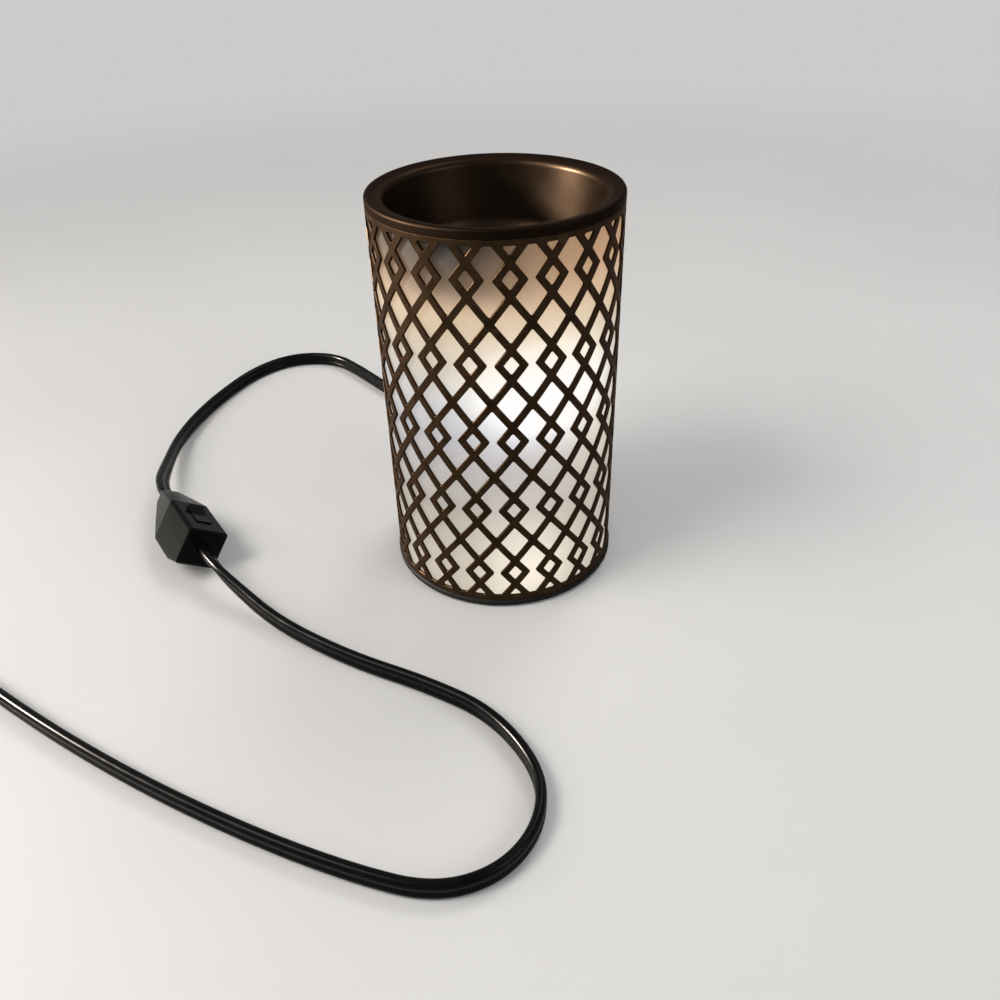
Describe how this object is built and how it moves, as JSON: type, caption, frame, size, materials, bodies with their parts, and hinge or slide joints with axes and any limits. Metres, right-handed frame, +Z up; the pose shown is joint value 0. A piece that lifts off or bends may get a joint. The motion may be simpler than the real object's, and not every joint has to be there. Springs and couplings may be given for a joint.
{
  "type": "fragrance warmer lamp",
  "caption": "Table fragrance warmer: a lit lattice cylinder with a lift-off metal dish, a flat cord, an inline rocker switch and a two-blade plug.",
  "frame": {"origin": "on the table, under the middle line of the lamp's cylinder", "axes": "+Z up along the cylinder; the cord leaves at the back, +Y; the front faces -Y"},
  "size_m": [0.3591, 0.3735, 0.1615],
  "materials": {
    "dish_metal": "satin black enamel",
    "sleeve_metal": "dark bronze powder coat, satin",
    "frosted_glass": "frosted white inside",
    "base_plastic": "fine-textured moulded plastic",
    "steel": "zinc-plated",
    "foot_rubber": "matte",
    "reflector_aluminium": "bright rolled",
    "socket_phenolic": "moulded phenolic",
    "brass": "drawn",
    "bulb_glass": "soft white",
    "cap_aluminium": "rolled thread",
    "insulator_glass": "black vitrite",
    "filament": "drawn tungsten",
    "cord_black": "satin PVC",
    "lead_black": "satin PVC",
    "lead_white": "satin PVC",
    "switch_plastic": "moulded, fine texture"
  },
  "bodies": {
    "root": {"lattice_sleeve": "sleeve_metal", "frosted_diffuser": "frosted_glass", "base_housing": "base_plastic", "bottom_cover": "base_plastic", "cover_screws": "steel", "rubber_feet": "foot_rubber", "deck_reflector": "reflector_aluminium", "socket_bracket": "steel", "bracket_screws": "steel", "socket_body": "socket_phenolic", "socket_screw_shell": "brass", "socket_centre_contact": "brass", "socket_rivet": "brass", "terminal_screws": "brass", "strain_relief": "cord_black", "live_lead": "lead_black", "neutral_lead": "lead_white", "cord_lamp_to_switch": "cord_black", "cord_switch_to_coil": "cord_black", "cord_coil": "cord_black", "switch_lower_shell": "switch_plastic", "switch_upper_shell": "switch_plastic", "switch_contacts": "brass", "switch_screw": "steel", "plug_body": "cord_black", "plug_blades": "brass"},
    "dish": {"warming_dish": "dish_metal"},
    "bulb": {"bulb_glass": "bulb_glass", "bulb_cap": "cap_aluminium", "bulb_insulator": "insulator_glass", "bulb_centre_contact": "brass", "bulb_stem": "bulb_glass", "bulb_filament": "filament"},
    "rocker": {"switch_rocker": "switch_plastic"}
  },
  "joints": [
    {"name": "dish_lift", "type": "slide", "parent": "root", "child": "dish", "axis": [0, 0, 1], "range_m": [0, 0.06]},
    {"name": "bulb_turn", "type": "hinge", "parent": "root", "child": "bulb", "pos_m": [0.011, 0, 0.045], "axis": [0, 0, 1], "range_deg": [0, 1080]},
    {"name": "rocker_tilt", "type": "hinge", "parent": "root", "child": "rocker", "pos_m": [-0.13796, -0.00724, 0.01987], "axis": [0.6832, 0.4574, -0.5693], "range_deg": [-14, 0]}
  ]
}
